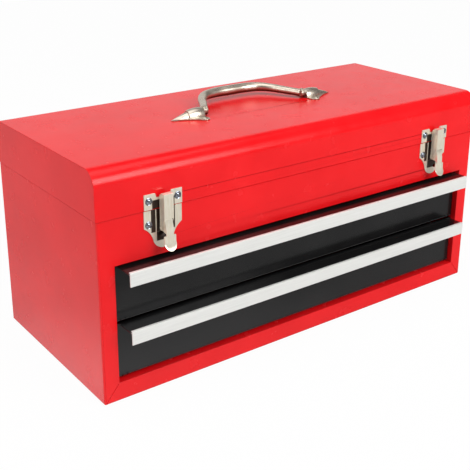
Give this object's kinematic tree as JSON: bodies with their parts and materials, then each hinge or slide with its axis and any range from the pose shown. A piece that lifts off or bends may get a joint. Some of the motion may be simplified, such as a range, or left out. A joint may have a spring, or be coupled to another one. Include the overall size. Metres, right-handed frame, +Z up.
{
  "type": "portable tool box with drawers",
  "caption": "Portable steel tool box with a lift-up lid, folding carry handle, draw latches, an open top compartment and drawers on ball-bearing slides.",
  "frame": {"origin": "centre of the case's underside, where the box stands", "axes": "+X to the right seen from the front, along the width; -Y out of the front, where the drawers open; +Z up"},
  "size_m": [0.5222, 0.2455, 0.2578],
  "materials": {
    "red_enamel": "gloss red powder coat",
    "black_enamel": "satin black powder coat",
    "satin_aluminium": "satin anodised",
    "zinc_steel": "bright zinc plated",
    "latch_nickel": "nickel plated pressed steel",
    "handle_nickel": "satin nickel plated casting"
  },
  "bodies": {
    "case": {"case_back": "red_enamel", "case_wrap": "red_enamel", "front_panel": "red_enamel", "hinge_leaf_case": "zinc_steel", "hinge_pin": "zinc_steel", "latch_base_left": "latch_nickel", "latch_base_right": "latch_nickel", "latch_rivets_case": "latch_nickel", "lever_pin_left": "latch_nickel", "lever_pin_right": "latch_nickel", "slide_mount_left": "red_enamel", "slide_mount_right": "red_enamel", "slide_outer_lower_left": "zinc_steel", "slide_outer_lower_right": "zinc_steel", "slide_outer_upper_left": "zinc_steel", "slide_outer_upper_right": "zinc_steel", "tray_floor": "red_enamel"},
    "lid": {"handle_mount_left": "handle_nickel", "handle_mount_right": "handle_nickel", "handle_rivets": "handle_nickel", "hinge_leaf_lid": "zinc_steel", "latch_rivets_lid": "latch_nickel", "latch_strike_left": "latch_nickel", "latch_strike_right": "latch_nickel", "lid_end_left": "red_enamel", "lid_end_right": "red_enamel", "lid_shell": "red_enamel"},
    "handle": {"handle_grip": "handle_nickel"},
    "drawer_upper": {"drawer_pan_upper": "black_enamel", "drawer_pull_upper": "satin_aluminium", "slide_inner_upper_left": "zinc_steel", "slide_inner_upper_right": "zinc_steel"},
    "ball_cages_upper": {"ball_cage_upper_left": "zinc_steel", "ball_cage_upper_right": "zinc_steel"},
    "drawer_lower": {"drawer_pan_lower": "black_enamel", "drawer_pull_lower": "satin_aluminium", "slide_inner_lower_left": "zinc_steel", "slide_inner_lower_right": "zinc_steel"},
    "ball_cages_lower": {"ball_cage_lower_left": "zinc_steel", "ball_cage_lower_right": "zinc_steel"},
    "latch_lever_left": {"latch_lever_left": "latch_nickel", "link_pin_left": "latch_nickel"},
    "latch_link_left": {"latch_link_left": "latch_nickel"},
    "latch_lever_right": {"latch_lever_right": "latch_nickel", "link_pin_right": "latch_nickel"},
    "latch_link_right": {"latch_link_right": "latch_nickel"}
  },
  "joints": [
    {"name": "lid_hinge", "type": "hinge", "parent": "case", "child": "lid", "pos_m": [0, 0.1138, 0.1935], "axis": [-1, 0, 0], "range_deg": [0, 100]},
    {"name": "handle_swing", "type": "hinge", "parent": "lid", "child": "handle", "pos_m": [0, -0.0085, 0.248], "axis": [1, 0, 0], "range_deg": [-4, 172]},
    {"name": "drawer_upper_slide", "type": "slide", "parent": "case", "child": "drawer_upper", "axis": [0, -1, 0], "range_m": [0, 0.14]},
    {"name": "ball_cages_upper_slide", "type": "slide", "parent": "case", "child": "ball_cages_upper", "axis": [0, -1, 0], "range_m": [0, 0.07]},
    {"name": "drawer_lower_slide", "type": "slide", "parent": "case", "child": "drawer_lower", "axis": [0, -1, 0], "range_m": [0, 0.14]},
    {"name": "ball_cages_lower_slide", "type": "slide", "parent": "case", "child": "ball_cages_lower", "axis": [0, -1, 0], "range_m": [0, 0.07]},
    {"name": "latch_left", "type": "hinge", "parent": "case", "child": "latch_lever_left", "pos_m": [-0.189, -0.118, 0.181], "axis": [-1, 0, 0], "range_deg": [0, 90]},
    {"name": "latch_link_left", "type": "hinge", "parent": "latch_lever_left", "child": "latch_link_left", "pos_m": [-0.189, -0.116, 0.174], "axis": [-1, 0, 0], "range_deg": [-90, 0]},
    {"name": "latch_right", "type": "hinge", "parent": "case", "child": "latch_lever_right", "pos_m": [0.189, -0.118, 0.181], "axis": [-1, 0, 0], "range_deg": [0, 90]},
    {"name": "latch_link_right", "type": "hinge", "parent": "latch_lever_right", "child": "latch_link_right", "pos_m": [0.189, -0.116, 0.174], "axis": [-1, 0, 0], "range_deg": [-90, 0]}
  ],
  "couplings": [
    {"joint": "ball_cages_upper_slide", "follows": "drawer_upper_slide", "ratio": 0.5},
    {"joint": "ball_cages_lower_slide", "follows": "drawer_lower_slide", "ratio": 0.5},
    {"joint": "latch_link_left", "follows": "latch_left", "ratio": -1},
    {"joint": "latch_link_right", "follows": "latch_right", "ratio": -1}
  ]
}
